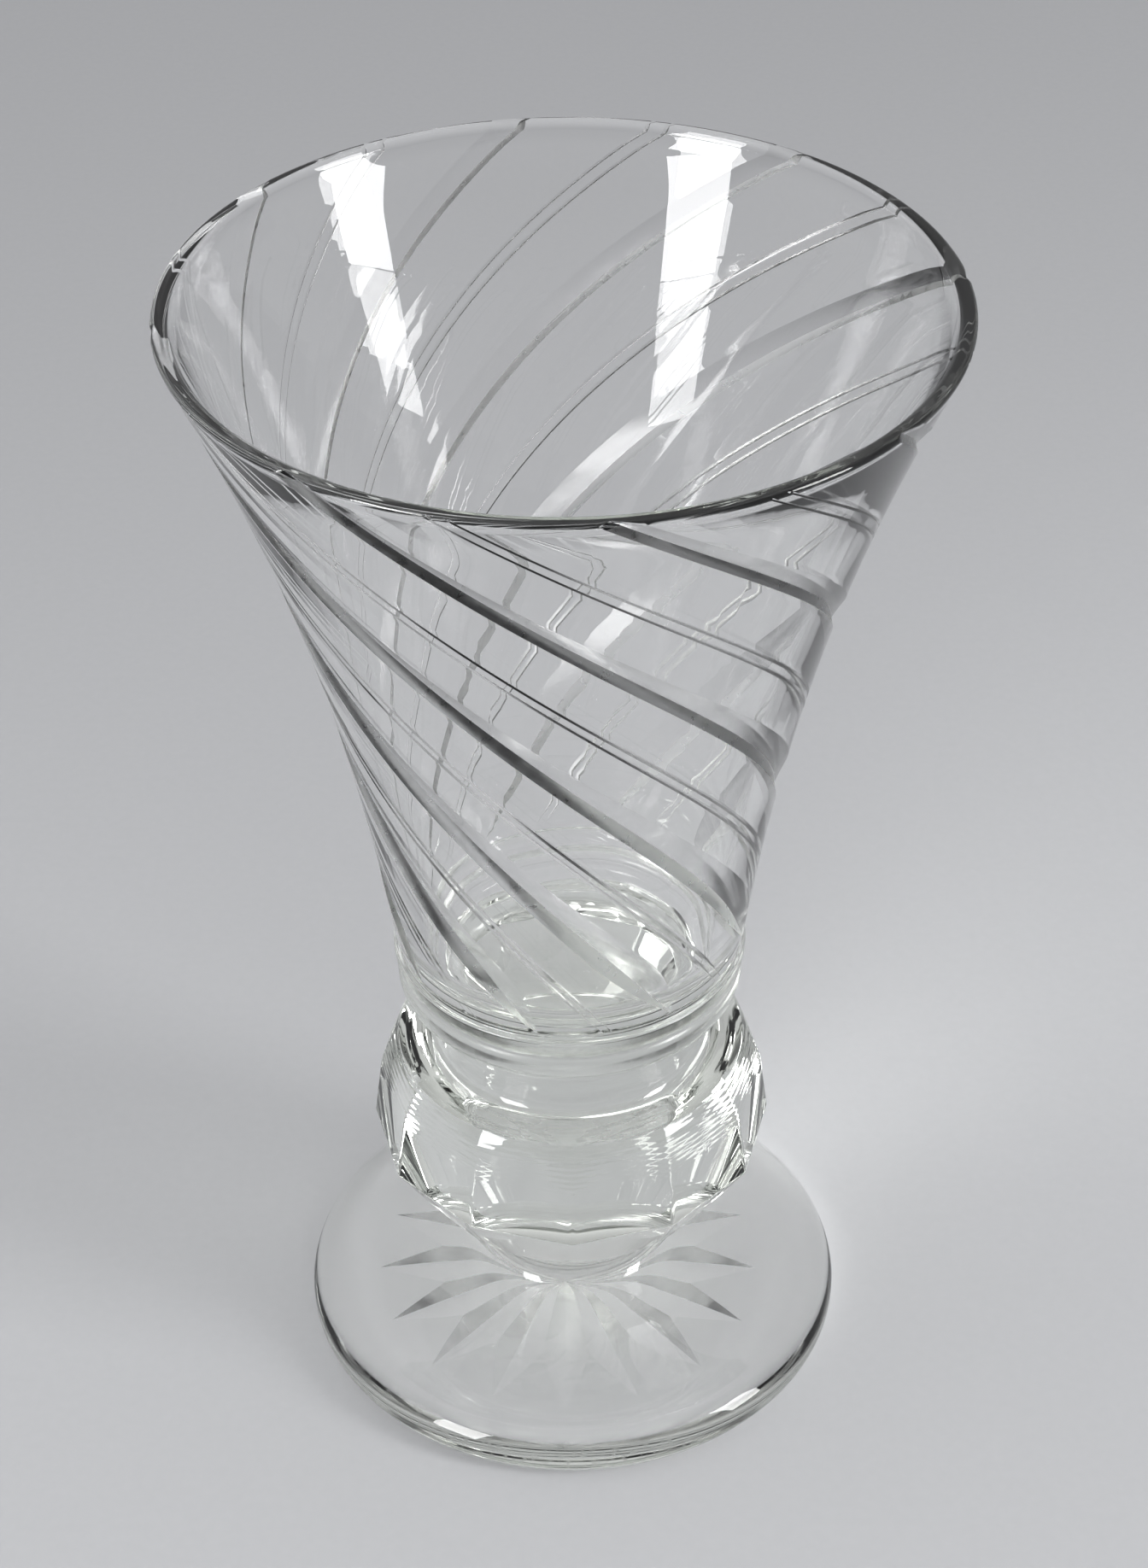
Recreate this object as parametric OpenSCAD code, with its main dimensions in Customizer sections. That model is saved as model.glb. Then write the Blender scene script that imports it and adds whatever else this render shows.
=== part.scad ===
// Cut-glass flower vase: a trumpet bowl with spiral cuts on a faceted knop, a short stem and a round foot.
// The four pieces are hot-joined, each standing on the one below, face to face.
// Millimetres, +Z up, with the origin at the middle of the foot's underside, on the table.

/* [Bowl] */
// Height of the bowl from its joint on the knop to the rim
bowl_h = 173.5; // [150:0.5:200]
// Outer diameter that the trumpet flares to at the rim, before its lip is rounded
rim_d = 152; // [135:1:175]
// Outer diameter of the trumpet where it leaves the base ring
waist_d = 72.4; // [70:0.2:78]
// Outer diameter of the base ring at its lower edge
ring_low_d = 70.4; // [66:0.2:72]
// Outer diameter of the base ring at its upper edge
ring_top_d = 73.8; // [72:0.2:80]
// Height of the base ring
ring_h = 10.5; // [6:0.5:12]
// Height of the hollow neck curve under the base ring
neck_h = 14; // [10:0.5:17]
// Wall at the rim
rim_wall = 4; // [3:0.1:5]
// Wall just above the base ring
base_wall = 5.9; // [5.5:0.1:8]
// Height of the cavity's floor above the top of the neck curve
floor_h = 6; // [4:0.5:8]
// Radius where the cavity's wall turns into its floor
floor_round = 14; // [8:0.5:18]
// Radius of the polished lip
lip_round = 1.5; // [0.8:0.1:1.7]
// Share of the flare that is straight
flare_share = 0.5; // [0.4:0.05:0.7]
// How late the curved part of the flare comes, as a power
flare_power = 2.4; // [2:0.1:3]

/* [Spiral cuts] */
// Number of wide cuts round the bowl
cut_count = 8; // [6:1:10]
// Direction in which one wide cut's valley meets the rim, in degrees from +X
cut_start = 5.4; // [0:0.1:60]
// Height in which one cut would go once round the bowl
cut_lead = 323; // [260:1:420]
// Depth of a wide cut
cut_depth = 1.3; // [0.8:0.1:1.8]
// Width of the broad face of a wide cut
broad_w = 4.2; // [3:0.1:5]
// Width of the narrow face of a wide cut
narrow_w = 2.2; // [1.5:0.1:3]
// Width of a thin cut
line_w = 0.8; // [0.5:0.1:1.2]
// Depth of a thin cut
line_depth = 0.3; // [0.2:0.05:0.5]
// Distance between the two thin cuts of a pair, round the rim
line_gap = 4.1; // [3:0.1:5]
// Plain height left between the base ring and the lowest tips of the cuts
tip_clear = 2; // [1:0.5:4]
// Height over which a cut tapers to its tip
tip_h = 20; // [12:1:30]

/* [Knop] */
// Height of the knop between its two joints
knop_h = 53; // [46:0.5:60]
// Diameter of the joint between knop and bowl
neck_d = 57.4; // [52:0.2:64]
// Number of flat panels round the knop
panel_count = 12; // [10:1:16]
// Corner diameter at the lower edge of the panels
belt_low_d = 85.8; // [82:0.2:92]
// Corner diameter at the upper edge of the panels
belt_top_d = 81.6; // [78:0.2:86]
// Height of the panels' lower edge above the lower joint
belt_z = 26.5; // [23:0.5:30]
// Height of the panels
belt_h = 17; // [14:0.5:21]
// Corner diameter at the lower edge of the bevel below the panels
bevel_d = 73; // [68:0.5:76]
// Height of that bevel
bevel_h = 10.5; // [7:0.5:13]
// Diameter of the shoulder's edge above the panels
shoulder_d = 73.6; // [70:0.2:77]
// Height of the sloped shoulder band above the panels
shoulder_h = 6; // [3:0.5:7]

/* [Stem] */
// Height of the stem between its two joints
stem_h = 11; // [9:0.5:16]
// Diameter of the joint between stem and knop
stem_top_d = 43.6; // [42:0.2:50]
// Narrowest diameter of the stem
stem_d = 40.6; // [36:0.2:42]
// Diameter of the joint between foot and stem
stem_low_d = 56; // [50:0.5:62]

/* [Foot] */
// Diameter of the foot
foot_d = 118; // [110:1:130]
// Height of the foot from the table to its joint with the stem
foot_h = 16.5; // [14:0.5:20]
// Thickness of the foot's rounded edge
foot_edge = 10; // [8:0.5:12]
// Width of the flat ring that rests on the table
rest_w = 6; // [4:0.5:8]
// Depth of the dished underside inside the resting ring
dish_depth = 0.8; // [0.4:0.1:1.2]

/* [Star cut] */
// Number of rays under the foot, an even number
ray_count = 16; // [12:2:20]
// Diameter across the tips of the rays
star_d = 90; // [80:1:94]
// Depth of the star at its middle, from the dished underside
star_depth = 2; // [1.5:0.1:3]
// Width of a ray's mitre cut at the middle of the star
ray_w = 22; // [16:0.5:24]

/* [Hidden] */
$fn = 128;
full_turn = 360;

// Heights of the joints, each piece standing on the one below
stem_z = foot_h;
knop_z = stem_z + stem_h;
bowl_z = knop_z + knop_h;
rim_z = bowl_z + bowl_h;
ring_z = bowl_z + neck_h;
waist_z = ring_z + ring_h;
floor_z = ring_z + floor_h;
belt_low_z = knop_z + belt_z;
belt_top_z = belt_low_z + belt_h;
edge_z = belt_top_z + shoulder_h;

// Points along each turned curve
curve_steps = 8;
glass_colour = [0.86, 0.9, 0.88, 0.45];

// How much the knop's blank stands out past the corners that the panels leave
spare_share = 0.01;
blank_spare = neck_d * spare_share;
// How far the knop's underside swells past a straight cone
bulge_share = 0.01;
under_bulge = neck_d * bulge_share;
// Where the stem is narrowest, up from its lower joint
stem_narrow_share = 0.64;
// The foot's edge is rounded small below and large above, in these shares of its thickness
edge_low_share = 0.4;
edge_low_r = foot_edge * edge_low_share;
edge_top_r = foot_edge - edge_low_r;
edge_steps = 10;
// Radius of the foot where its dome begins, and of the dished underside inside the resting ring
dome_r = foot_d / 2 - edge_top_r;
dish_r = foot_d / 2 - edge_low_r - rest_w;
dome_power = 2;
// Slope of the foot's dome where it meets the stem, and how far the stem's curve keeps to its end directions
dome_slope = (foot_h - foot_edge) * dome_power / (dome_r - stem_low_d / 2);
handle_share = 0.56;
// Angle between a ray of the star and the ridge beside it, and the levels at which the cut is drawn, as
// shares of its depth, the first of them below the foot
ray_half_angle = full_turn / ray_count / 2;
star_level_shares = [-0.1, 0, 0.2, 0.4, 0.6, 0.8, 0.93];

// How far up the trumpet a height lies, from 0 at the base ring to 1 at the rim
function rise(z) = max(0, (z - waist_z) / (rim_z - waist_z));
// Outer radius of the uncut trumpet at a height, and its wall there
function trumpet_r(z) = let (s = rise(z))
    waist_d / 2 + (rim_d - waist_d) / 2 * (flare_share * s + (1 - flare_share) * pow(s, flare_power));
function wall_at(z) = base_wall + (rim_wall - base_wall) * rise(z);

// Angle in degrees that a cut has turned through between the rim and a height
function cut_turn(z) = full_turn * (rim_z - z) / cut_lead;
// Degrees round the bowl for one millimetre measured square across a cut
function degrees_per_mm(z) = let (
    r = trumpet_r(z),
    around = r * PI * 2 / cut_lead
) full_turn / (2 * PI * r) * sqrt(1 + around * around) / around;
// Share of its full size that a cut has at a height, from its lower tip upwards
function cut_share(z) = let (t = min(1, max(0, (z - waist_z - tip_clear) / tip_h))) sin(90 * t);

// Least share of a cut's full width at which it is still drawn, to keep its edges apart below its tip
least_share = 0.12;
// Where the plain glass between two cuts has its points, as shares of the way across
plain_shares = [1 / 3, 2 / 3];
repeat_angle = full_turn / cut_count;
// Angles and depths of the points across one repeat of the pattern, from a wide cut's valley onwards
function pattern(z) = let (
    k = degrees_per_mm(z),
    share = max(least_share, cut_share(z)),
    depth_share = cut_share(z),
    broad = broad_w * k * share,
    narrow = narrow_w * k * share,
    line = line_w / 2 * k * share,
    pair = line_gap / (rim_d * PI) * full_turn / 2,
    middle = repeat_angle / 2,
    first = middle - pair - line,
    last = middle + pair + line,
    end = repeat_angle - narrow,
    wide_d = cut_depth * depth_share,
    thin_d = line_depth * depth_share
) [
    [0, wide_d],
    [broad, 0],
    [broad + (first - broad) * plain_shares[0], 0],
    [broad + (first - broad) * plain_shares[1], 0],
    [first, 0],
    [middle - pair, thin_d],
    [middle - pair + line, 0],
    [middle + pair - line, 0],
    [middle + pair, thin_d],
    [last, 0],
    [last + (end - last) * plain_shares[0], 0],
    [last + (end - last) * plain_shares[1], 0],
    [end, 0]
];

// Rows of the cut surface, from inside the base ring to the lip
wall_rows = 30;
lip_rows = 3;
bite_share = 0.3;
ring_bite = ring_h * bite_share;
lip_z = rim_z - lip_round;
row_heights = concat(
    [waist_z - ring_bite],
    [for (i = [0 : wall_rows]) waist_z + (lip_z - waist_z) * i / wall_rows],
    [for (i = [1 : lip_rows]) lip_z + lip_round * sin(90 * i / lip_rows)]
);
function lip_inset(z) = z <= lip_z ? 0 : lip_round - sqrt(max(0, pow(lip_round, 2) - pow(z - lip_z, 2)));
function row_points(z) = [
    for (i = [0 : cut_count - 1])
        for (p = pattern(z))
            let (
                a = cut_start + i * repeat_angle + p[0] + cut_turn(z),
                r = trumpet_r(z) - max(p[1], lip_inset(z))
            ) [r * cos(a), r * sin(a), z]
];

// A closed solid skinned over rows of points, each row a ring of the same count.
// It ends in a flat cap, or in a fan to a peak where one is given.
module skin_rows(rows, peak = undef) {
    n = len(rows[0]);
    last = len(rows) - 1;
    points = concat([for (row = rows) for (p = row) p], is_undef(peak) ? [] : [peak]);
    sides = [
        for (i = [0 : last - 1])
            for (j = [0 : n - 1])
                let (
                    a = i * n + j,
                    b = i * n + (j + 1) % n,
                    c = a + n,
                    d = b + n
                ) each [[a, c, b], [b, c, d]]
    ];
    low_cap = [for (j = [0 : n - 1]) j];
    top_cap = [for (j = [n - 1 : -1 : 0]) last * n + j];
    fan = [for (j = [0 : n - 1]) [last * n + j, (last + 1) * n, last * n + (j + 1) % n]];
    polyhedron(points = points, faces = concat(sides, [low_cap], is_undef(peak) ? [top_cap] : fan));
}

// The neck curve and the base ring under the trumpet
module bowl_base() {
    rotate_extrude()
        polygon(concat(
            [[0, bowl_z]],
            [for (i = [0 : curve_steps]) let (t = i / curve_steps) [
                neck_d / 2 + (ring_low_d - neck_d) / 2 * (1 - cos(90 * t)),
                bowl_z + neck_h * sin(90 * t)
            ]],
            [[ring_top_d / 2, waist_z], [0, waist_z]]
        ));
}

// The space inside the bowl, with its rounded floor and the lip's inner curve
cavity_steps = 14;
module bowl_space() {
    start_z = floor_z + floor_round;
    floor_r = trumpet_r(start_z) - wall_at(start_z);
    lip_r = rim_d / 2 - rim_wall;
    rotate_extrude()
        polygon(concat(
            [[0, floor_z], [floor_r - floor_round, floor_z]],
            [for (i = [1 : curve_steps]) let (t = i / curve_steps) [
                floor_r - floor_round * (1 - sin(90 * t)),
                floor_z + floor_round * (1 - cos(90 * t))
            ]],
            [for (i = [1 : cavity_steps]) let (z = start_z + (lip_z - start_z) * i / cavity_steps)
                [trumpet_r(z) - wall_at(z), z]],
            [for (i = [1 : lip_rows]) let (t = i / lip_rows) [
                lip_r + lip_round * (1 - cos(90 * t)),
                lip_z + lip_round * sin(90 * t)
            ]],
            [[lip_r + lip_round, rim_z + lip_round], [0, rim_z + lip_round]]
        ));
}

module bowl() {
    color(glass_colour)
        difference() {
            union() {
                bowl_base();
                skin_rows([for (z = row_heights) row_points(z)]);
            }
            bowl_space();
        }
}

// The turned form of the knop before its panels are cut
module knop_blank() {
    bevel_z = belt_low_z - bevel_h;
    rotate_extrude()
        polygon(concat(
            [[0, knop_z]],
            [for (i = [0 : curve_steps]) let (t = i / curve_steps) [
                stem_top_d / 2 + (bevel_d - stem_top_d) / 2 * t + under_bulge * 4 * t * (1 - t),
                knop_z + (bevel_z - knop_z) * t
            ]],
            [
                [belt_low_d / 2 + blank_spare, belt_low_z],
                [belt_top_d / 2 + blank_spare, belt_top_z],
                [shoulder_d / 2, edge_z]
            ],
            [for (i = [1 : curve_steps]) let (t = i / curve_steps) [
                neck_d / 2 + (shoulder_d - neck_d) / 2 * (1 - sin(90 * t)),
                edge_z + (bowl_z - edge_z) * (1 - cos(90 * t))
            ]],
            [[0, bowl_z]]
        ));
}

// The many-sided form that the panels and the bevel below them lie on, with a corner towards -Y
module knop_panels() {
    bevel_slope = (belt_low_d - bevel_d) / 2 / bevel_h;
    belt_slope = (belt_low_d - belt_top_d) / 2 / belt_h;
    levels = [
        [belt_low_d / 2 - bevel_slope * belt_z, knop_z],
        [belt_low_d / 2, belt_low_z],
        [belt_low_d / 2 - belt_slope * (bowl_z - belt_low_z), bowl_z]
    ];
    rotate([0, 0, -90])
        skin_rows([
            for (level = levels)
                [for (j = [0 : panel_count - 1]) let (a = full_turn * j / panel_count)
                    [level[0] * cos(a), level[0] * sin(a), level[1]]]
        ]);
}

module knop() {
    color(glass_colour)
        intersection() {
            knop_blank();
            knop_panels();
        }
}

// Point at a share t of the way along a curve that starts and ends in line with its two handles
function curve_point(a, b, c, d, t) = let (u = 1 - t)
    a * pow(u, 3) + b * 3 * t * u * u + c * 3 * t * t * u + d * pow(t, 3);

module stem() {
    narrow_z = stem_z + stem_h * stem_narrow_share;
    spread = (stem_low_d - stem_d) / 2;
    start = [stem_low_d / 2, stem_z];
    narrow = [stem_d / 2, narrow_z];
    start_handle = start + [-spread, spread * dome_slope] * handle_share;
    narrow_handle = narrow - [0, narrow_z - stem_z] * handle_share;
    color(glass_colour)
        rotate_extrude()
            polygon(concat(
                [[0, stem_z]],
                [for (i = [0 : curve_steps])
                    curve_point(start, start_handle, narrow_handle, narrow, i / curve_steps)],
                [for (i = [1 : curve_steps]) let (t = i / curve_steps) [
                    stem_d / 2 + (stem_top_d - stem_d) / 2 * t * t,
                    narrow_z + (knop_z - narrow_z) * t
                ]],
                [[0, knop_z]]
            ));
}

// Height of the dished underside at a distance from the middle
function dish_z(r) = dish_depth * max(0, 1 - pow(r / dish_r, 2));

// The foot as turned, with its rounded edge, its slightly domed top and its dished underside
module foot_blank() {
    rotate_extrude()
        polygon(concat(
            [for (i = [0 : curve_steps]) let (r = dish_r * i / curve_steps) [r, dish_z(r)]],
            [for (i = [0 : edge_steps]) let (a = 90 * i / edge_steps) [
                foot_d / 2 - edge_low_r * (1 - sin(a)),
                edge_low_r * (1 - cos(a))
            ]],
            [for (i = [1 : edge_steps]) let (a = 90 * i / edge_steps) [
                dome_r + edge_top_r * cos(a),
                edge_low_r + edge_top_r * sin(a)
            ]],
            [for (i = [1 : curve_steps]) let (t = i / curve_steps) [
                dome_r + (stem_low_d / 2 - dome_r) * t,
                foot_edge + (foot_h - foot_edge) * pow(t, dome_power)
            ]],
            [[0, foot_h]]
        ));
}

// Outline of the star at one level of its cut. Each ray is a mitre cut whose valley sinks from its tip to the
// middle, and whose flanks run out sideways until they meet the neighbours' flanks. Each point is given with
// the number of rays by which it is turned on.
function star_level(z) = let (
    r = star_d / 2,
    deep = star_depth + dish_depth,
    flank = ray_w / 2 / deep,
    tip_x = r * sqrt(1 - z / deep),
    bend = flank * deep / r / r,
    lean = tan(ray_half_angle),
    meet_x = (sqrt(lean * lean + 4 * bend * flank * (deep - z)) - lean) / 2 / bend,
    side_x = (tip_x + meet_x) / 2,
    side_y = flank * (deep * (1 - pow(side_x / r, 2)) - z)
) [
    for (i = [0 : ray_count - 1])
        for (p = [[tip_x, 0, 0], [side_x, side_y, 0], [meet_x, meet_x * lean, 0], [side_x, -side_y, 1]])
            let (a = full_turn * (i + p[2]) / ray_count)
                [p[0] * cos(a) - p[1] * sin(a), p[0] * sin(a) + p[1] * cos(a), z]
];

// The form that the star's cuts take out of the underside, all rays together
module star_cuts() {
    deep = star_depth + dish_depth;
    skin_rows([for (share = star_level_shares) star_level(share * deep)], [0, 0, deep]);
}

module foot() {
    color(glass_colour)
        difference() {
            foot_blank();
            star_cuts();
        }
}

foot();
stem();
knop();
bowl();
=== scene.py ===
import math

import bpy
import numpy as np
from mathutils import Matrix, Vector


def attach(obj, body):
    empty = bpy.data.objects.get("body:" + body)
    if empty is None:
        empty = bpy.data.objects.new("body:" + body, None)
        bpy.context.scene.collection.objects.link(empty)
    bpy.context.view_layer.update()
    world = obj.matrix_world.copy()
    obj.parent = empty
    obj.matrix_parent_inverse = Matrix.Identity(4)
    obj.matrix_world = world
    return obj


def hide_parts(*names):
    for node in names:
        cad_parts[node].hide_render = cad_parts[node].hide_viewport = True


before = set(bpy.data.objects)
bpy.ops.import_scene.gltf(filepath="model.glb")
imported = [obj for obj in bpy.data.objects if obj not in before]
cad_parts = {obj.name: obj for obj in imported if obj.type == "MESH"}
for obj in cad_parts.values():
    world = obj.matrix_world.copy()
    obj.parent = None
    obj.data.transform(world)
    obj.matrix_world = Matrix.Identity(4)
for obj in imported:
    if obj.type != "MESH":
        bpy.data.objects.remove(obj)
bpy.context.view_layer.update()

MM = 0.001
TURN = 2 * math.pi

# Camera, fitted to the outlines of the rim and the foot in the photograph
CAMERA_PLACE = (0.0, -0.53705, 0.5526)
PITCH = 0.651947
YAW = 0.0021623
ROLL = -0.0081596
FOCAL_PX = 3895.447
IMAGE_HEIGHT = 1836


def photo_camera():
    forward = Vector((
        math.sin(YAW) * math.cos(PITCH), math.cos(YAW) * math.cos(PITCH), -math.sin(PITCH)
    ))
    level = Vector((math.cos(YAW), -math.sin(YAW), 0))
    over = level.cross(forward)
    right = math.cos(ROLL) * level + math.sin(ROLL) * over
    up = -math.sin(ROLL) * level + math.cos(ROLL) * over
    data = bpy.data.cameras.new("photo_camera")
    data.sensor_fit = "AUTO"
    data.sensor_width = 36
    data.lens = FOCAL_PX / IMAGE_HEIGHT * data.sensor_width
    data.clip_start = 0.01
    camera = bpy.data.objects.new("photo_camera", data)
    turn = Matrix((right, up, -forward)).transposed()
    camera.matrix_world = Matrix.Translation(CAMERA_PLACE) @ turn.to_4x4()
    bpy.context.scene.collection.objects.link(camera)
    bpy.context.scene.camera = camera


photo_camera()

# Sizes of the vase in millimetres, as in the part's source
BOWL_Z, RING_Z, WAIST_Z, RIM_Z = 80.5, 94.5, 105.0, 254.0
RIM_R, WAIST_R, NECK_R = 76.0, 36.2, 28.7
RING_LOW_R, RING_TOP_R = 35.2, 36.9
RIM_WALL, BASE_WALL, LIP_ROUND = 4.0, 5.9, 1.5
FLOOR_Z, FLOOR_ROUND = 100.5, 14.0
FLARE_SHARE, FLARE_POWER = 0.5, 2.4
CUTS, CUT_START, CUT_LEAD, CUT_DEPTH = 8, 5.4, 323.0, 1.3
BROAD_W, NARROW_W, LINE_W, LINE_DEPTH, LINE_GAP = 4.2, 2.2, 0.8, 0.3, 4.1
TIP_CLEAR, TIP_H = 2.0, 20.0
KNOP_Z, BEVEL_Z, BELT_LOW_Z, BELT_TOP_Z, EDGE_Z = 27.5, 43.5, 54.0, 71.0, 77.0
PANELS, BELT_LOW_R, BELT_TOP_R, BEVEL_R, SHOULDER_R = 12, 42.9, 40.8, 36.5, 36.8
BLANK_SPARE, UNDER_BULGE, SHOULDER_BULGE = 0.574, 0.574, 0.3
STEM_Z, STEM_TOP_R, STEM_R, STEM_LOW_R = 16.5, 21.8, 20.3, 28.0
NARROW_Z = STEM_Z + (KNOP_Z - STEM_Z) * 0.64
FOOT_R, EDGE_LOW_R, EDGE_TOP_R, DISH_R, DISH_DEPTH = 59.0, 4.0, 6.0, 49.0, 0.8
EDGE_TOP_Z = EDGE_LOW_R + EDGE_TOP_R
DOME_R = FOOT_R - EDGE_TOP_R
RAYS, STAR_R, STAR_DEEP, RAY_W = 16, 43.4, 2.8, 22.0
# The cutter set the star a little off the foot's middle and turned it a little
STAR_SHIFT, STAR_TURN = (-1.2, -1.3), -1.0

# Half of the hair gap between two fused pieces, which parts their joint faces. Each of these faces has one
# ring inside its edge, at a share of its radius
HAIR, JOINT_SHARE = 0.005, 0.5

# Halvings in each search for the place where two surfaces meet
HALVINGS = 40

# Names of the mesh's own marks: the faces of a fused joint, how ground the resting ring is, and how satin
# a cut is
JOINT = "joint"
GROUND = "ground"
SATIN = "satin"


def mesh_object(name, points, faces, face_marks, sharp):
    """A piece from points in millimetres.

    face_marks gives lists of one number for each face, and sharp is a set of edges.
    """
    mesh = bpy.data.meshes.new(name)
    mesh.from_pydata([tuple(p) for p in np.asarray(points) * MM], [], faces)
    mesh.validate()
    mesh.polygons.foreach_set("use_smooth", np.ones(len(mesh.polygons), dtype=bool))
    for key, values in face_marks.items():
        layer = mesh.attributes.new(key, "FLOAT", "FACE")
        layer.data.foreach_set("value", np.asarray(values, dtype=np.float32))
    ends = np.empty(len(mesh.edges) * 2, dtype=np.int32)
    mesh.edges.foreach_get("vertices", ends)
    marks = [tuple(sorted(e)) in sharp for e in ends.reshape(-1, 2).tolist()]
    layer = mesh.attributes.new("sharp_edge", "BOOLEAN", "EDGE")
    layer.data.foreach_set("value", np.asarray(marks, dtype=bool))
    mesh.update()
    piece = bpy.data.objects.new(name, mesh)
    bpy.context.scene.collection.objects.link(piece)
    return piece


def wrapped_piece(
    name, rows, joint_rows=(), sharp_rows=(), sharp_columns=(), ground_rows=(), satin=None,
):
    """A closed piece from rings of points. The first and last ring are drawn in to their own middle.

    joint_rows and ground_rows name bands by the ring they start at, with -1 for the first fan and
    len(rows) - 1 for the last. sharp_rows names rings, and sharp_columns gives (column, first ring, last
    ring). satin has a row for each ring and a number for each column, kept by the face that starts there.
    """
    rows = np.asarray(rows, dtype=float)
    count, n = rows.shape[:2]
    low, top = rows[0].mean(axis=0), rows[-1].mean(axis=0)
    points = np.concatenate([rows.reshape(-1, 3), [low, top]])
    faces, joint, ground, polish = [], [], [], []
    around = np.arange(n)
    after = (around + 1) % n

    def add(new, band):
        plain = satin is None or band in (-1, count - 1)
        faces.extend(new)
        joint.extend([1.0 if band in joint_rows else 0.0] * len(new))
        ground.extend([1.0 if band in ground_rows else 0.0] * len(new))
        polish.extend([0.0] * len(new) if plain else satin[band])

    add([(int(b), int(a), count * n) for a, b in zip(around, after)], -1)
    for i in range(count - 1):
        base = i * n
        quads = [
            (base + int(a), base + int(b), base + n + int(b), base + n + int(a))
            for a, b in zip(around, after)
        ]
        add(quads, i)
    last = (count - 1) * n
    add([(last + int(a), last + int(b), count * n + 1) for a, b in zip(around, after)], count - 1)
    sharp = set()
    for i in sharp_rows:
        base = (i % count) * n
        sharp.update(tuple(sorted((base + int(a), base + int(b)))) for a, b in zip(around, after))
    for j, first, final in sharp_columns:
        sharp.update((i * n + j, (i + 1) * n + j) for i in range(first, final))
    return mesh_object(name, points, faces, {JOINT: joint, GROUND: ground, SATIN: polish}, sharp)


def ring(r, z, angles):
    """One ring of points. r and z are numbers or one number for each angle."""
    r = np.broadcast_to(r, angles.shape)
    z = np.broadcast_to(z, angles.shape)
    return np.stack([r * np.cos(angles), r * np.sin(angles), z], axis=-1)


def bezier(a, b, c, d, t):
    a, b, c, d = (np.asarray(p, dtype=float) for p in (a, b, c, d))
    t = np.asarray(t, dtype=float)[:, None]
    u = 1 - t
    return a * u**3 + b * 3 * t * u**2 + c * 3 * t**2 * u + d * t**3


# Bowl


def rise(z):
    return np.maximum(0, (z - WAIST_Z) / (RIM_Z - WAIST_Z))


def trumpet_r(z):
    s = rise(z)
    return WAIST_R + (RIM_R - WAIST_R) * (FLARE_SHARE * s + (1 - FLARE_SHARE) * s**FLARE_POWER)


def wall_at(z):
    return BASE_WALL + (RIM_WALL - BASE_WALL) * rise(z)


# Columns across each face of a cut and each plain stretch, and rings along each stretch of the bowl
BROAD_STEPS, NARROW_STEPS, PLAIN_STEPS, BETWEEN_STEPS = 6, 4, 9, 4
COVE_RINGS, FACE_RINGS, FOOT_RINGS, TIP_RINGS, WALL_RINGS = 50, 10, 5, 28, 112
LIP_RINGS, TOP_RINGS, INNER_RINGS, FLOOR_RINGS = 9, 5, 62, 30

# A cut keeps this share of its width below its tip, where it has no depth, so that its columns stay apart
LEAST_SHARE = 0.02

# How far the faces of a wide cut are hollowed by the wheel, and how satin each face and the base ring is
BROAD_HOLLOW, NARROW_HOLLOW = 0.09, 0.05
BROAD_SATIN, NARROW_SATIN, LINE_SATIN, BAND_SATIN = 0.8, 1.5, 1, 0.9

# Outline of the base ring, as radius and height: its soft lower bead, a fine groove round it, its soft upper
# bead, and a filleted ledge that parts it from the trumpet
RING_EDGE = (
    (35.5, 94.56), (35.78, 94.8), (36.02, 95.3), (36.2, 96.2), (36.26, 97.2), (36.2, 98.2), (36.05, 98.9),
)
RING_GROOVE = ((35.92, 99.2), (35.5, 99.65), (36.08, 100.1))
FACE_LOW_R, FACE_LOW_Z, FACE_H, FACE_BULGE = 36.25, 100.4, 3.8, 0.2
RING_LEDGE = (
    (36.9, 104.45), (36.87, 104.65), (36.77, 104.84), (36.58, 104.96), (36.3, 105.0), (36.0, 105.05),
    (35.78, 105.16), (35.65, 105.34), (35.6, 105.6),
)
FILLET_R, FILLET_Z, FILLET_H = 0.7, WAIST_Z + 0.85, 3.2

# Where the floor of the hollow meets its wall: the wall's lean, the curve's reach down and in, and the radius
# of the small hole that the last fan closes
FLOOR_LEAN, FLOOR_DROP, FLOOR_REACH, FLOOR_MIDDLE_R = 0.14, 8.2, 8.0, 1.2


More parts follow.
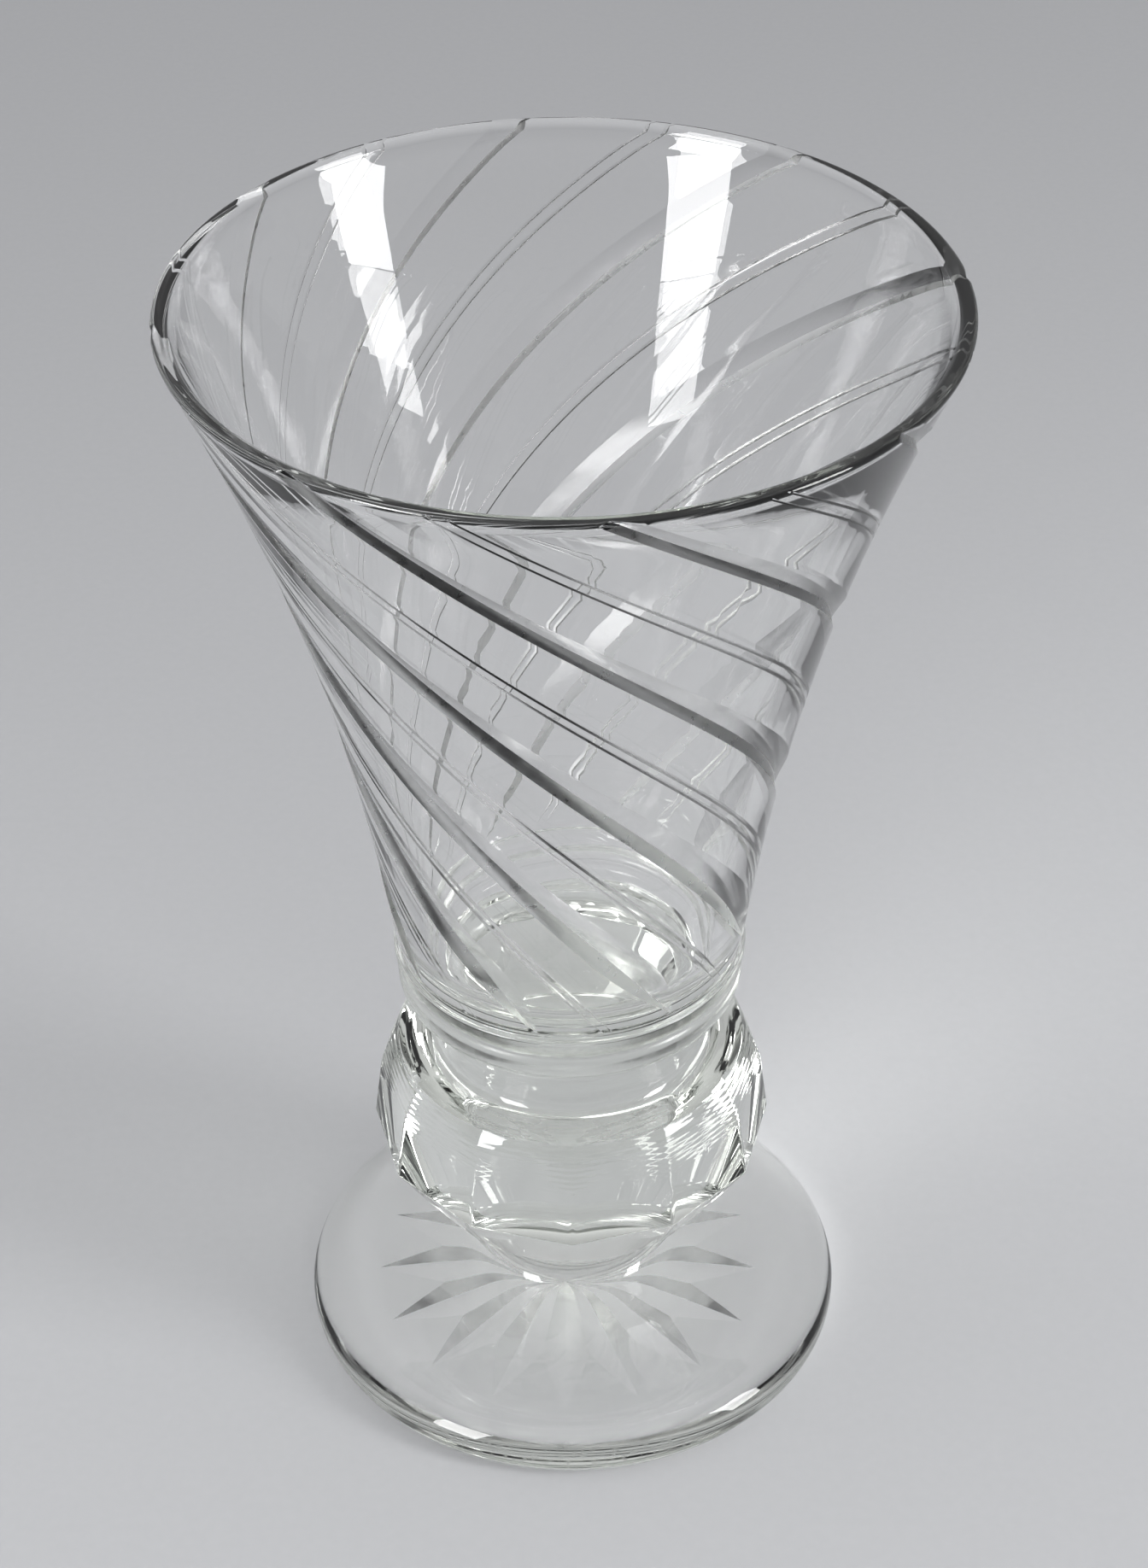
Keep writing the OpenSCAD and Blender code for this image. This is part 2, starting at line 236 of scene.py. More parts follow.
def pattern(z):
    """Across one repeat of the cuts at a height: angles in degrees, depths, sharp edges and satin faces."""
    r = trumpet_r(z)
    around = r * TURN / CUT_LEAD
    per_mm = 360 / (TURN * r) * math.sqrt(1 + around * around) / around
    t = min(1, max(0, (z - WAIST_Z - TIP_CLEAR) / TIP_H))
    depth = math.sin(math.pi / 2 * t)
    width = max(LEAST_SHARE, depth)
    repeat = 360 / CUTS
    broad, narrow = BROAD_W * per_mm * width, NARROW_W * per_mm * width
    line = LINE_W / 2 * per_mm * width
    pair = LINE_GAP / (RIM_R * TURN) * 180
    middle, end = repeat / 2, repeat - narrow
    wide_d, thin_d = CUT_DEPTH * depth, LINE_DEPTH * depth
    spans = [
        (0, wide_d, BROAD_STEPS, BROAD_HOLLOW, BROAD_SATIN),
        (broad, 0, PLAIN_STEPS, 0, 0),
        (middle - pair - line, 0, 1, 0, LINE_SATIN),
        (middle - pair, thin_d, 1, 0, LINE_SATIN),
        (middle - pair + line, 0, BETWEEN_STEPS, 0, 0),
        (middle + pair - line, 0, 1, 0, LINE_SATIN),
        (middle + pair, thin_d, 1, 0, LINE_SATIN),
        (middle + pair + line, 0, PLAIN_STEPS, 0, 0),
        (end, 0, NARROW_STEPS, NARROW_HOLLOW, NARROW_SATIN),
        (repeat, wide_d, 0, 0, 0),
    ]
    angles, depths, edges, satin = [], [], [], []
    for (a, da, steps, hollow, polish), (b, db, _, _, _) in zip(spans, spans[1:]):
        edges.append(len(angles))
        for i in range(steps):
            s = i / steps
            angles.append(a + (b - a) * s)
            depths.append(da + (db - da) * s + hollow * depth * 4 * s * (1 - s))
            satin.append(polish)
    return np.array(angles), np.array(depths), edges, satin


def bowl_angles(z):
    """Every column's angle in radians and depth of cut at a height."""
    angles, depths, edges, _ = pattern(z)
    turn = CUT_START + 360 * (RIM_Z - z) / CUT_LEAD
    all_angles = np.concatenate([angles + 360 / CUTS * i for i in range(CUTS)]) + turn
    return np.radians(all_angles), np.tile(depths, CUTS), [
        e + len(angles) * i for i in range(CUTS) for e in edges
    ]


# Height of the broad and the fine ripples on the neck, how fast they follow each other, and how far they
# wander on their way round
BROAD_RIPPLE, FINE_RIPPLE = (0.012, 4.1, 1.6), (0.007, 7.3, 2)


def tooling(z, angles):
    """Ripples that the hot glass keeps from its tools, round the neck."""
    height, pace, wander = BROAD_RIPPLE
    broad = height * np.sin(pace * z + wander * np.sin(2 * angles + 1))
    height, pace, wander = FINE_RIPPLE
    fine = height * np.sin(pace * z + wander * np.sin(3 * angles))
    return broad + fine


def unevenness(s, angles):
    """How far the blown hollow is off its true radius, at a share of its height."""
    return 0.05 * np.sin(3 * angles + 9 * s) + 0.04 * np.sin(5 * angles - 14 * s + 1)


def faded(t, steepness):
    """1 over most of a stretch, and down to 0 at both of its ends."""
    return min(1, steepness * t, steepness * (1 - t))


def bowl_piece():
    rows, sharp_rows = [], []
    low_angles, _, _ = bowl_angles(WAIST_Z)
    joint_z = BOWL_Z + HAIR
    rows.append(ring(NECK_R * JOINT_SHARE, joint_z, low_angles))
    sharp_rows.append(len(rows))
    for t in np.linspace(0, 1, COVE_RINGS):
        r = NECK_R + (RING_LOW_R - NECK_R) * (1 - math.cos(math.pi / 2 * t))
        z = max(joint_z, BOWL_Z + (RING_Z - BOWL_Z) * math.sin(math.pi / 2 * t))
        rows.append(ring(r + tooling(z, low_angles) * faded(t, 8), z, low_angles))
    band_first = len(rows)
    for r, z in RING_EDGE:
        rows.append(ring(r, z, low_angles))
    for r, z in RING_GROOVE:
        sharp_rows.append(len(rows))
        rows.append(ring(r, z, low_angles))
    for t in np.linspace(0, 1, FACE_RINGS):
        r = FACE_LOW_R + (RING_TOP_R - FACE_LOW_R) * t + FACE_BULGE * 4 * t * (1 - t)
        rows.append(ring(r, FACE_LOW_Z + FACE_H * t, low_angles))
    band_last = len(rows)
    for r, z in RING_LEDGE:
        rows.append(ring(r, z, low_angles))
    first_cut = len(rows)
    lip_z = RIM_Z - LIP_ROUND
    tip_z = WAIST_Z + TIP_CLEAR
    heights = np.concatenate([
        np.linspace(FILLET_Z, tip_z, FOOT_RINGS),
        np.linspace(tip_z, tip_z + TIP_H, TIP_RINGS)[1:],
        np.linspace(tip_z + TIP_H, lip_z, WALL_RINGS)[1:],
    ])
    tip_row = first_cut + FOOT_RINGS - 1
    for z in heights:
        angles, depths, _ = bowl_angles(z)
        fillet = FILLET_R * max(0, 1 - (z - FILLET_Z) / FILLET_H) ** 2
        rows.append(ring(trumpet_r(z) - depths - fillet, z, angles))
    last_cut = len(rows) - 1
    for t in np.linspace(0, 1, LIP_RINGS)[1:]:
        z = lip_z + LIP_ROUND * math.sin(math.pi / 2 * t)
        angles, depths, edges = bowl_angles(z)
        inset = LIP_ROUND * (1 - math.cos(math.pi / 2 * t))
        # A cut's valley runs out over the lip without a step
        rows.append(ring(trumpet_r(z) - np.maximum(depths, inset), z, angles))
    top_row = len(rows) - 1
    rim_angles = bowl_angles(RIM_Z)[0]
    inner_r = RIM_R - RIM_WALL
    for r in np.linspace(inner_r + LIP_ROUND, RIM_R - LIP_ROUND, TOP_RINGS)[::-1][1:]:
        rows.append(ring(r, RIM_Z, rim_angles))
    for t in np.linspace(0, 1, LIP_RINGS)[1:]:
        rows.append(ring(
            inner_r + LIP_ROUND - LIP_ROUND * math.sin(math.pi / 2 * t),
            lip_z + LIP_ROUND * math.cos(math.pi / 2 * t),
            rim_angles,
        ))
    round_z = FLOOR_Z + FLOOR_ROUND
    low_r = float(trumpet_r(round_z) - wall_at(round_z))
    # The wall meets the lip's own radius over the top of its height
    lip_misfit = inner_r - (trumpet_r(lip_z) - wall_at(lip_z))
    near_lip = 0.07
    for z in np.linspace(lip_z, round_z, INNER_RINGS)[1:]:
        s = (z - round_z) / (lip_z - round_z)
        r = trumpet_r(z) - wall_at(z) + lip_misfit * max(0, (s - 1 + near_lip) / near_lip) ** 2
        rows.append(ring(r + unevenness(s, rim_angles) * faded(s, 6), z, rim_angles))
    floor_path = bezier(
        (low_r, round_z),
        (low_r - FLOOR_LEAN * FLOOR_DROP, round_z - FLOOR_DROP),
        (low_r - FLOOR_REACH, FLOOR_Z),
        (FLOOR_MIDDLE_R, FLOOR_Z),
        np.linspace(0, 1, FLOOR_RINGS)[1:],
    )
    for r, z in floor_path:
        rows.append(ring(r, z, rim_angles))
    columns = [(j, tip_row, top_row) for j in edges]
    satin = np.zeros((len(rows), len(rim_angles)))
    satin[tip_row:last_cut] = np.tile(pattern(RIM_Z)[3], CUTS)
    satin[band_first:band_last] = BAND_SATIN
    return wrapped_piece(
        "bowl_glass_blown", rows, joint_rows=(-1, 0), sharp_rows=sharp_rows, sharp_columns=columns,
        satin=satin,
    )


# Knop


def knop_blank_r(z):
    """Radius of the turned form that the panels and the bevel were cut from, up to the belt."""
    t = np.clip((z - KNOP_Z) / (BEVEL_Z - KNOP_Z), 0, 1)
    under = STEM_TOP_R + (BEVEL_R - STEM_TOP_R) * t + UNDER_BULGE * 4 * t * (1 - t)
    above = BEVEL_R + (BELT_LOW_R + BLANK_SPARE - BEVEL_R) * (z - BEVEL_Z) / (BELT_LOW_Z - BEVEL_Z)
    return np.where(z < BEVEL_Z, under, above)


def shoulder_blank_r(z):
    """Radius of the same form from the belt's top to the knop's upper edge."""
    t = (z - BELT_TOP_Z) / (EDGE_Z - BELT_TOP_Z)
    blank_r = BELT_TOP_R + BLANK_SPARE
    return blank_r + (SHOULDER_R - blank_r) * t + SHOULDER_BULGE * 4 * max(0, t) * (1 - t)


def bevel_corner_r(z):
    return BELT_LOW_R + (BELT_LOW_R - BEVEL_R) * (z - BELT_LOW_Z) / (BELT_LOW_Z - BEVEL_Z)


def belt_corner_r(z):
    return BELT_LOW_R + (BELT_TOP_R - BELT_LOW_R) * (z - BELT_LOW_Z) / (BELT_TOP_Z - BELT_LOW_Z)


def soft_least(first, second, blend):
    """The lesser of two radii, with the crease between them polished away over the given width."""
    t = np.clip(0.5 + (second - first) / (2 * blend), 0, 1)
    return second * (1 - t) + first * t - blend * t * (1 - t)


def crossing(first, second, share, low, high):
    """Height at which first(z) meets second(z) times share, by halving."""
    for _ in range(HALVINGS):
        middle = (low + high) / 2
        if (first(middle) - second(middle) * share) * (first(high) - second(high) * share) > 0:
            high = middle
        else:
            low = middle
    return (low + high) / 2


# Columns of a panel near each corner, in degrees from it, and between them
NEAR_CORNER, PANEL_STEPS = (0, 0.22, 0.5, 1.2), 17

# A corner's edge is polished down by this much, over this many degrees, and the belt's lower edge by a little
CORNER_BLUNT, CORNER_SPREAD, EDGE_BLUNT = 0.09, 0.3, 0.03

# Rings along the knop: under the bevel, up the bevel as shares, up the belt from its lower edge, over the
# panels' tops, and across the dish round the neck
UNDER_RINGS, BEVEL_SHARES = 30, (0.06, 0.2, 0.4, 0.6, 0.8, 0.93, 0.985)
BELT_STEPS = (0.1, 0.5, 1.5, 3, 5, 7, 9)
TOP_START_Z, TOP_EDGE_RINGS, DISH_RINGS = 65, 50, 46

# Width over which the panels' tops are blended, the heights between which the lower edge of a bevel's face
# is looked for, and the pace of the tools' ripples in the dish round the neck, by its radius
TOP_BLEND, LOW_EDGE_SPAN, DISH_PACE = 4.0, (BEVEL_Z - 9, BELT_LOW_Z - 1), 0.8

# The fine lines of the turned shoulder: where they start, how far they take to come in and to go out at the
# edge, and their height and pace
LINES_Z, LINES_IN, LINES_OUT, LINE_HEIGHT, LINE_PACE = 66.0, 3, 0.5, 0.02, 5.2


def turning(z):
    """Fine level lines that the lathe left on the knop's shoulder, up to its edge."""
    fade = min(1, max(0, (z - LINES_Z) / LINES_IN)) * min(1, (EDGE_Z - z) / LINES_OUT)
    return LINE_HEIGHT * math.sin(LINE_PACE * z) * fade


def knop_piece():
    side = TURN / PANELS
    near = np.radians(NEAR_CORNER)
    across = np.concatenate([
        near, np.linspace(near[-1], side - near[-1], PANEL_STEPS)[1:-1], side - near[::-1][:-1],
    ])
    angles = np.concatenate([across + side * i for i in range(PANELS)]) - math.pi / 2
    local = np.tile(across, PANELS)
    # A flat panel's radius, as a share of its corners' radius
    share = math.cos(side / 2) / np.cos(local - side / 2)
    blunt = np.exp(-((np.minimum(local, side - local) / math.radians(CORNER_SPREAD)) ** 2)) * CORNER_BLUNT
    low_z = np.array([
        BEVEL_Z if s > 1 - 1e-6 else crossing(knop_blank_r, bevel_corner_r, s, *LOW_EDGE_SPAN)
        for s in share
    ])
    rows = [ring(STEM_TOP_R * JOINT_SHARE, KNOP_Z + HAIR, angles)]
    sharp = [len(rows)]
    for t in np.linspace(0, 1, UNDER_RINGS):
        z = KNOP_Z + HAIR + (low_z - KNOP_Z - HAIR) * t
        rows.append(ring(knop_blank_r(z), z, angles))
    sharp.append(len(rows) - 1)
    for t in BEVEL_SHARES:
        z = low_z + (BELT_LOW_Z - low_z) * t
        rows.append(ring(bevel_corner_r(z) * share - blunt, z, angles))
    rows.append(ring(BELT_LOW_R * share - blunt - EDGE_BLUNT, BELT_LOW_Z, angles))
    # The panels' tops run softly into the round shoulder
    belt_heights = BELT_LOW_Z + np.array(BELT_STEPS)
    top_heights = np.linspace(TOP_START_Z, EDGE_Z, TOP_EDGE_RINGS)[:-1]
    for z in np.concatenate([belt_heights, top_heights]):
        r = soft_least(belt_corner_r(z) * share - blunt, float(shoulder_blank_r(z)), TOP_BLEND)
        rows.append(ring(r + turning(z), z, angles))
    sharp.append(len(rows))
    rows.append(ring(SHOULDER_R - EDGE_BLUNT, EDGE_Z, angles))
    for t in np.linspace(0, 1, DISH_RINGS)[1:]:
        a = math.pi / 2 * t
        r = NECK_R + (SHOULDER_R - NECK_R) * (1 - math.sin(a))
        z = EDGE_Z + (BOWL_Z - EDGE_Z) * (1 - math.cos(a)) + tooling(r * DISH_PACE, angles) * faded(t, 8)
        rows.append(ring(r, np.minimum(z, BOWL_Z - HAIR), angles))
    sharp.append(len(rows) - 1)
    rows.append(ring(NECK_R * JOINT_SHARE, BOWL_Z - HAIR, angles))
    last = len(rows) - 1
    return wrapped_piece(
        "knop_glass_panelled", rows, joint_rows=(-1, 0, last - 1, last), sharp_rows=sharp,
    )


# Stem

# Columns round the stem, rings below and above its narrowest place, and how long its lower curve keeps to
# the slope that it has at either end
STEM_COLUMNS, STEM_LOW_RINGS, STEM_TOP_RINGS, STEM_HOLD = 256, 30, 20, 0.56


def stem_piece():
    angles = np.arange(STEM_COLUMNS) / STEM_COLUMNS * TURN
    slope = (STEM_Z - EDGE_TOP_Z) * 2 / (DOME_R - STEM_LOW_R)
    spread = STEM_LOW_R - STEM_R
    path = bezier(
        (STEM_LOW_R, STEM_Z),
        (STEM_LOW_R - spread * STEM_HOLD, STEM_Z + spread * STEM_HOLD * slope),
        (STEM_R, NARROW_Z - (NARROW_Z - STEM_Z) * STEM_HOLD),
        (STEM_R, NARROW_Z),
        np.linspace(0, 1, STEM_LOW_RINGS),
    )
    rows = [ring(STEM_LOW_R * JOINT_SHARE, STEM_Z + HAIR, angles)]
    for r, z in path:
        rows.append(ring(r, max(z, STEM_Z + HAIR), angles))
    for t in np.linspace(0, 1, STEM_TOP_RINGS)[1:]:
        z = NARROW_Z + (KNOP_Z - NARROW_Z) * t
        rows.append(ring(STEM_R + (STEM_TOP_R - STEM_R) * t * t, min(z, KNOP_Z - HAIR), angles))
    last_side = len(rows) - 1
    rows.append(ring(STEM_TOP_R * JOINT_SHARE, KNOP_Z - HAIR, angles))
    return wrapped_piece(
        "stem_glass_turned", rows,
        joint_rows=(-1, 0, last_side, last_side + 1), sharp_rows=(1, last_side),
    )


# Foot

# Columns across half a ray's cut and across the dish beside it, and the share of half the step between two
# rays that each keeps at least, so that its columns stay apart
CUT_STEPS, BESIDE_STEPS, LEAST_EDGE = 5, 5, 0.002

# Rings over the dome, round the foot's upper and lower edge, and across the resting ring
DOME_RINGS, EDGE_TOP_RINGS, EDGE_LOW_RINGS, GROUND_RINGS = 40, 20, 18, 5

# Radii under the foot: the hole that the last fan closes, about where the rays part, and past their tips.
# Then the rings from the hole to the parting and on to the tips, and how many rings in from the tips the
# edge between two rays starts
HOLE_R, PARTING_R, PAST_TIP_R = 0.6, 24, (45, 46.4, 47.8, DISH_R)
MIDDLE_RINGS, RAY_RINGS, RIDGE_START = 40, 60, 30


def dish_z(r):
    return DISH_DEPTH * np.maximum(0, 1 - (r / DISH_R) ** 2)


def star_z(r, angle):
    """Height of the cut's surface at a distance from the middle and an angle from its ray."""
    x, y = r * np.cos(angle), r * np.abs(np.sin(angle))
    flank = RAY_W / 2 / STAR_DEEP
    return STAR_DEEP * (1 - (x / STAR_R) ** 2) - y / flank


def ray_edge(r):
    """Angle from a ray at which its cut ends, on the dish or on the ridge to its neighbour."""
    half = TURN / RAYS / 2
    if star_z(r, half) >= dish_z(r):
        return half * (1 - LEAST_EDGE)
    low, high = 0.0, half
    for _ in range(HALVINGS):
        middle = (low + high) / 2
        if star_z(r, middle) > dish_z(r):
            low = middle
        else:
            high = middle
    return max(low, half * LEAST_EDGE)


def foot_piece():
    half = TURN / RAYS / 2
    flat_r = FOOT_R - EDGE_LOW_R
    rows, sharp_rows = [], []
    per_ray = 2 * (CUT_STEPS + BESIDE_STEPS)

    def angles_at(edge):
        one = np.concatenate([
            np.linspace(0, edge, CUT_STEPS + 1)[:-1],
            np.linspace(edge, half, BESIDE_STEPS + 1)[:-1],
        ])
        ray = np.concatenate([one, 2 * half - np.concatenate([[half], one[:0:-1]])])
        angles = np.concatenate([ray + 2 * half * i for i in range(RAYS)]) + math.radians(STAR_TURN)
        return angles, np.tile(np.minimum(ray, 2 * half - ray), RAYS)

    radii = np.concatenate([
        np.linspace(HOLE_R, PARTING_R, MIDDLE_RINGS),
        np.linspace(PARTING_R, STAR_R, RAY_RINGS)[1:],
        PAST_TIP_R,
    ])[::-1]
    # From the joint on top, over the dome and the edge, to the dished underside and its star
    plain_angles, _ = angles_at(half * LEAST_EDGE)
    rows.append(ring(STEM_LOW_R * JOINT_SHARE, STEM_Z - HAIR, plain_angles))
    sharp_rows.append(len(rows))
    for t in np.linspace(1, 0, DOME_RINGS):
        r = DOME_R + (STEM_LOW_R - DOME_R) * t
        z = EDGE_TOP_Z + (STEM_Z - EDGE_TOP_Z) * t * t
        rows.append(ring(r, min(z, STEM_Z - HAIR), plain_angles))
    for centre_r, edge_r, arc in (
        (DOME_R, EDGE_TOP_R, np.linspace(90, 0, EDGE_TOP_RINGS)[1:]),
        (flat_r, EDGE_LOW_R, np.linspace(0, -90, EDGE_LOW_RINGS)[1:]),
    ):
        for a in np.radians(arc):
            r = centre_r + edge_r * math.cos(a)
            rows.append(ring(r, EDGE_LOW_R + edge_r * math.sin(a), plain_angles))
    ground_first = len(rows) - 1
    for r in np.linspace(flat_r, DISH_R, GROUND_RINGS)[1:-1]:
        rows.append(ring(r, 0, plain_angles))
    ground_last = len(rows)
    star_first = len(rows)
    for r in radii:
        angles, local = angles_at(ray_edge(r))
        z = np.maximum(star_z(r, local), dish_z(r)) if r < STAR_R else dish_z(r)
        shift = min(1, (DISH_R - r) / (DISH_R - STAR_R))
        rows.append(ring(r, z, angles) + np.array([STAR_SHIFT[0] * shift, STAR_SHIFT[1] * shift, 0]))
    last = len(rows) - 1
    tip = star_first + len(PAST_TIP_R)
    columns = []
    for i in range(RAYS):
        base = per_ray * i
        columns += [
            (base, tip, last), (base + CUT_STEPS, tip, last),
            (base + per_ray // 2, tip + RIDGE_START, last), (base + per_ray - CUT_STEPS, tip, last),
        ]
    rows = [r[::-1] for r in rows]
    n = len(rows[0])
    columns = [(n - 1 - j, a, b) for j, a, b in columns]
    satin = np.zeros((len(rows), n))
    # The last quad of the reversed ring is the one that closed the ring before
    ray_satin = [1.0] * CUT_STEPS + [0.0] * 2 * BESIDE_STEPS + [1.0] * CUT_STEPS
    satin[tip:] = np.roll(np.tile(ray_satin, RAYS)[::-1], -1)
    return wrapped_piece(
        "foot_glass_starred", rows, joint_rows=(-1, 0), sharp_rows=sharp_rows, sharp_columns=columns,
        ground_rows=range(ground_first, ground_last), satin=satin,
    )


# Materials

GLASS_IOR = 1.52
GLASS_TINT, TINT_DENSITY = (0.84, 0.88, 0.80, 1), 6

# Scale and detail of each noise, the span of it that shows, and the roughness at the ends of that span
GRAIN, GRAIN_SPAN, GRAIN_ROUGH = (900, 3), (0.48, 0.72), (0, 0.22)
WHEEL, WHEEL_SPAN, WHEEL_ROUGH = (420, 2), (0.3, 0.7), (0.17, 0.26)
SMEAR, SMEAR_SPAN = (55, 4), (0.55, 0.75)
WAVE_DETAIL = 1
PAPER, PAPER_GREYS = (400, 4), ((0.44, 0.445, 0.455, 1), (0.465, 0.47, 0.48, 1))
PAPER_ROUGH, PAPER_GLOSS = 0.9, 0.1


def node_material(name):
    material = bpy.data.materials.new(name)
    material.use_nodes = True
    tree = material.node_tree
    tree.nodes.clear()
    return material, tree.nodes, tree.links


def noise_node(nodes, links, place, scale, detail):
    noise = nodes.new("ShaderNodeTexNoise")
    noise.inputs["Scale"].default_value = scale
    noise.inputs["Detail"].default_value = detail
    links.new(place.outputs["Object"], noise.inputs["Vector"])
    return noise.outputs["Fac"]


def range_node(nodes, links, value, span, result):
    """The value, spread from its own span to the result's and kept inside it."""
    spread = nodes.new("ShaderNodeMapRange")
    spread.inputs["From Min"].default_value, spread.inputs["From Max"].default_value = span
    spread.inputs["To Min"].default_value, spread.inputs["To Max"].default_value = result
    links.new(value, spread.inputs["Value"])
    return spread.outputs["Result"]


def mark_node(nodes, name):
    mark = nodes.new("ShaderNodeAttribute")
    mark.attribute_name = name
    return mark.outputs["Fac"]


def product_node(nodes, links, first, second, added):
    """First times second, plus added. Each is a socket or a number."""
    total = nodes.new("ShaderNodeMath")
    total.operation = "MULTIPLY_ADD"
    for socket, value in zip(total.inputs, (first, second, added)):
        if isinstance(value, (int, float)):
            socket.default_value = value
        else:
            links.new(value, socket)
    return total.outputs[0]


def glass_material(name, wave_scale, wave_height, haze):
    """Clear crystal. Its surface keeps a faint wave from the hand work and a thin film of haze, its resting
    ring is ground, its cuts keep the wheel's satin, and the glass takes a little grey-green from the light by
    its depth. On the faces of a fused joint it bends nothing."""
    material, nodes, links = node_material(name)
    out = nodes.new("ShaderNodeOutputMaterial")
    glass = nodes.new("ShaderNodeBsdfPrincipled")
    glass.inputs["Base Color"].default_value = (1, 1, 1, 1)
    glass.inputs["Transmission Weight"].default_value = 1
    glass.inputs["IOR"].default_value = GLASS_IOR
    links.new(glass.outputs["BSDF"], out.inputs["Surface"])
    bend = product_node(nodes, links, mark_node(nodes, JOINT), 1 - GLASS_IOR, GLASS_IOR)
    links.new(bend, glass.inputs["IOR"])
    place = nodes.new("ShaderNodeTexCoord")
    worn = range_node(nodes, links, noise_node(nodes, links, place, *GRAIN), GRAIN_SPAN, GRAIN_ROUGH)
    film = range_node(nodes, links, noise_node(nodes, links, place, *SMEAR), SMEAR_SPAN, (0, haze))
    marks = range_node(nodes, links, noise_node(nodes, links, place, *WHEEL), WHEEL_SPAN, WHEEL_ROUGH)
    rough = product_node(nodes, links, mark_node(nodes, GROUND), worn, film)
    rough = product_node(nodes, links, mark_node(nodes, SATIN), marks, rough)
    links.new(rough, glass.inputs["Roughness"])
    bump = nodes.new("ShaderNodeBump")
    bump.inputs["Strength"].default_value = 1
    bump.inputs["Distance"].default_value = wave_height
    links.new(noise_node(nodes, links, place, wave_scale, WAVE_DETAIL), bump.inputs["Height"])
    links.new(bump.outputs["Normal"], glass.inputs["Normal"])
    depth = nodes.new("ShaderNodeVolumeAbsorption")
    depth.inputs["Color"].default_value = GLASS_TINT
    depth.inputs["Density"].default_value = TINT_DENSITY
    links.new(depth.outputs["Volume"], out.inputs["Volume"])
    return material


def floor_material():
    """Matt studio paper in a pale grey, with the faintest grain."""
    material, nodes, links = node_material("studio_paper")
    out = nodes.new("ShaderNodeOutputMaterial")
    paper = nodes.new("ShaderNodeBsdfPrincipled")
    paper.inputs["Roughness"].default_value = PAPER_ROUGH
    paper.inputs["Specular IOR Level"].default_value = PAPER_GLOSS
    place = nodes.new("ShaderNodeTexCoord")
    tone = nodes.new("ShaderNodeMix")
    tone.data_type = "RGBA"
    tone.inputs["A"].default_value, tone.inputs["B"].default_value = PAPER_GREYS
    links.new(noise_node(nodes, links, place, *PAPER), tone.inputs["Factor"])
    links.new(tone.outputs["Result"], paper.inputs["Base Color"])
    links.new(paper.outputs["BSDF"], out.inputs["Surface"])
    return material


# Floor, lamps and backdrop

# In metres. The floor is a hair under the resting ring, so that the glass keeps its own underside
FLOOR_LEVEL, FLOOR_RADII, FLOOR_COLUMNS = -0.00015, (0.15, 0.4, 1.0, 2.5, 6.0), 96


def studio_floor():
    """A round sheet far wider than the view."""
    n = FLOOR_COLUMNS
    points = [(0, 0, FLOOR_LEVEL)]
    for r in FLOOR_RADII:
        points += [(r * math.cos(a), r * math.sin(a), FLOOR_LEVEL) for a in np.arange(n) / n * TURN]
    faces = [(0, 1 + j, 1 + (j + 1) % n) for j in range(n)]
    for i in range(len(FLOOR_RADII) - 1):
        a = 1 + i * n
        faces += [(a + j, a + n + j, a + n + (j + 1) % n, a + (j + 1) % n) for j in range(n)]
    mesh = bpy.data.meshes.new("studio_floor")
    mesh.from_pydata(points, [], faces)
    floor = bpy.data.objects.new("studio_floor", mesh)
    floor.data.materials.append(floor_material())
    bpy.context.scene.collection.objects.link(floor)


# Where both lamps aim, and their distance in metres and elevation in degrees from there
LAMP_AIM, LAMP_DISTANCE, LAMP_ELEVATION = Vector((0, 0, 0.12)), 1.07, 21


def softbox(name, azimuth, width, height, power, shadow=True):
    """An area lamp seen from the vase at an azimuth in degrees from the camera's side, to the right.

    Without a shadow its light reaches the floor under the glass, as it does through clear crystal.
    """
    a, e = math.radians(azimuth), math.radians(LAMP_ELEVATION)
    away = Vector((math.sin(a) * math.cos(e), -math.cos(a) * math.cos(e), math.sin(e)))
    place = LAMP_AIM + LAMP_DISTANCE * away
    data = bpy.data.lights.new(name, "AREA")
    data.shape = "RECTANGLE"
    data.size, data.size_y = width, height
    data.energy = power
    data.use_shadow = shadow
    lamp = bpy.data.objects.new(name, data)
    facing = (LAMP_AIM - place).to_track_quat("-Z", "Y").to_matrix().to_4x4()
    lamp.matrix_world = Matrix.Translation(place) @ facing
    bpy.context.scene.collection.objects.link(lamp)


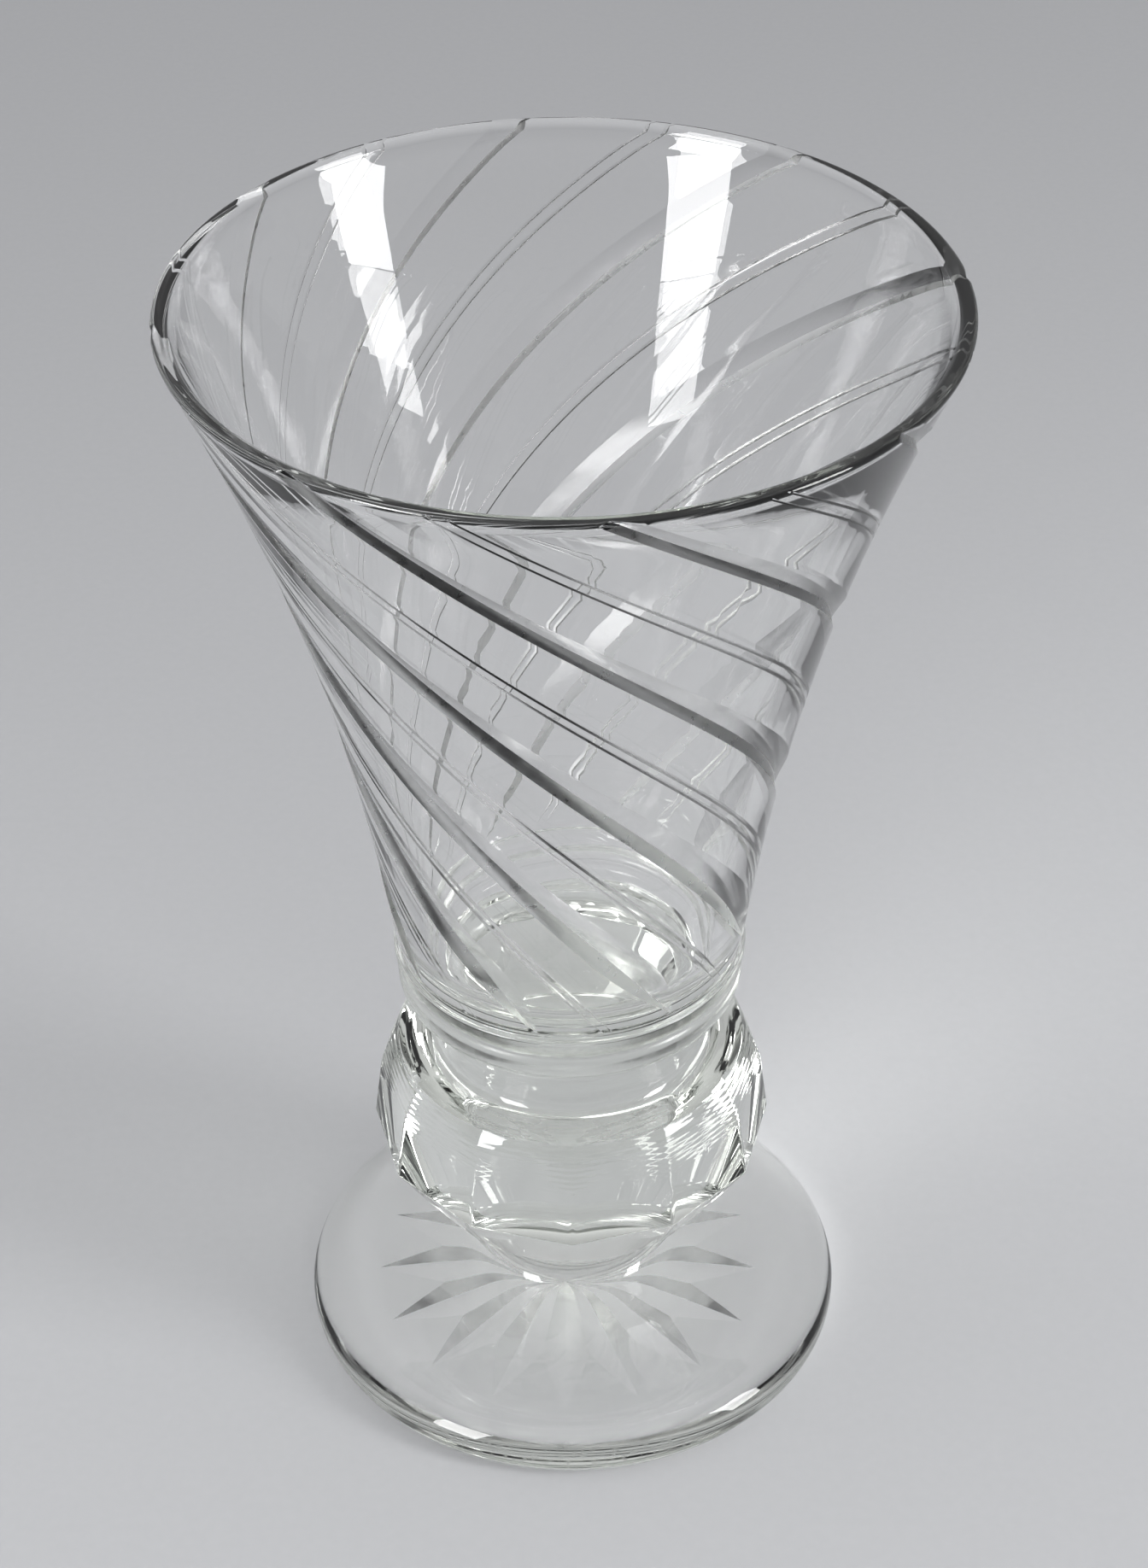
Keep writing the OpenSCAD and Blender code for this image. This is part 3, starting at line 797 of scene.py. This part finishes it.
# The backdrop's colour by the height of the line of sight, from the horizon to straight up
SKY = (
    (0.0, (0.56, 0.567, 0.58)), (0.16, (0.525, 0.53, 0.543)), (0.34, (0.45, 0.45, 0.459)),
    (0.62, (0.5, 0.5, 0.51)), (1.0, (0.95, 0.95, 0.969)),
)


def studio_world():
    """A pale backdrop near the horizon under a darker ceiling, the same from every side."""
    world = bpy.data.worlds.new("studio")
    bpy.context.scene.world = world
    world.use_nodes = True
    nodes, links = world.node_tree.nodes, world.node_tree.links
    nodes.clear()
    out = nodes.new("ShaderNodeOutputWorld")
    back = nodes.new("ShaderNodeBackground")
    place = nodes.new("ShaderNodeTexCoord")
    split = nodes.new("ShaderNodeSeparateXYZ")
    ramp = nodes.new("ShaderNodeValToRGB")
    links.new(place.outputs["Generated"], split.inputs[0])
    links.new(split.outputs["Z"], ramp.inputs["Fac"])
    stops = ramp.color_ramp.elements
    for i, (position, colour) in enumerate(SKY):
        stop = stops[i] if i < len(stops) else stops.new(position)
        stop.position = position
        stop.color = (*colour, 1)
    links.new(ramp.outputs["Color"], back.inputs["Color"])
    back.inputs["Strength"].default_value = 1
    links.new(back.outputs["Background"], out.inputs["Surface"])


# The four pieces, each in place of its CAD node. A glass has its own wave and haze
for build, node, slot, material in (
    (foot_piece, "foot", "foot_glass", glass_material("foot_crystal", 30, 0.00006, 0.02)),
    (stem_piece, "stem", "stem_glass", glass_material("stem_crystal", 40, 0.00005, 0.01)),
    (knop_piece, "knop", "knop_glass", glass_material("knop_crystal", 45, 0.00005, 0.01)),
    (bowl_piece, "bowl", "bowl_glass", glass_material("bowl_crystal", 32, 0.00006, 0.015)),
):
    piece = build()
    piece.data.materials.append(material)
    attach(piece, "root")
    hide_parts(node)

studio_floor()
studio_world()
softbox("left_softbox", -45, 0.34, 0.6, 8.5, shadow=False)
softbox("right_softbox", 68, 0.28, 0.6, 7.2)

scene = bpy.context.scene
scene.view_settings.view_transform = "Standard"
scene.cycles.max_bounces = 32
scene.cycles.transmission_bounces = 32
